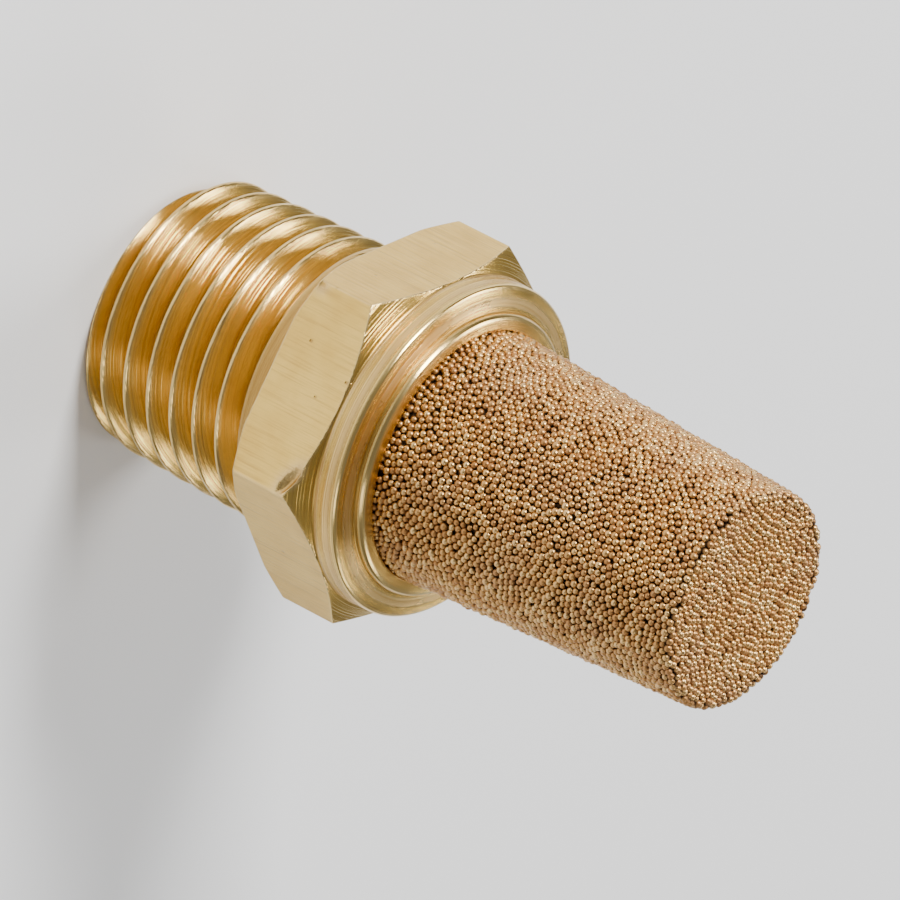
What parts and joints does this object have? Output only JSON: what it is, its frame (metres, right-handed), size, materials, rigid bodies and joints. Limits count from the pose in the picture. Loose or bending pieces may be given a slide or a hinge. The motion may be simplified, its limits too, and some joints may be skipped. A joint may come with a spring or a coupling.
{
  "type": "pneumatic muffler",
  "caption": "Pneumatic exhaust muffler: hexagon body with a male taper pipe thread and a rolled lip holding a hollow cup of sintered bronze grains.",
  "frame": {"origin": "centre of the threaded end face, on the part's axis", "axes": "+Z along the axis from the threaded end towards the closed end of the sintered cup; two corners of the hexagon lie on the X axis and two of its flats face +Y and -Y"},
  "size_m": [0.0184, 0.016, 0.0333],
  "materials": {
    "turned_brass": "turned and drawn bar, satin to bright",
    "sintered_bronze": "sintered spherical bronze grains, open pores, matt overall with a glint on each grain"
  },
  "bodies": {
    "root": {"threaded_body": "turned_brass", "sintered_cup": "sintered_bronze"}
  },
  "joints": []
}
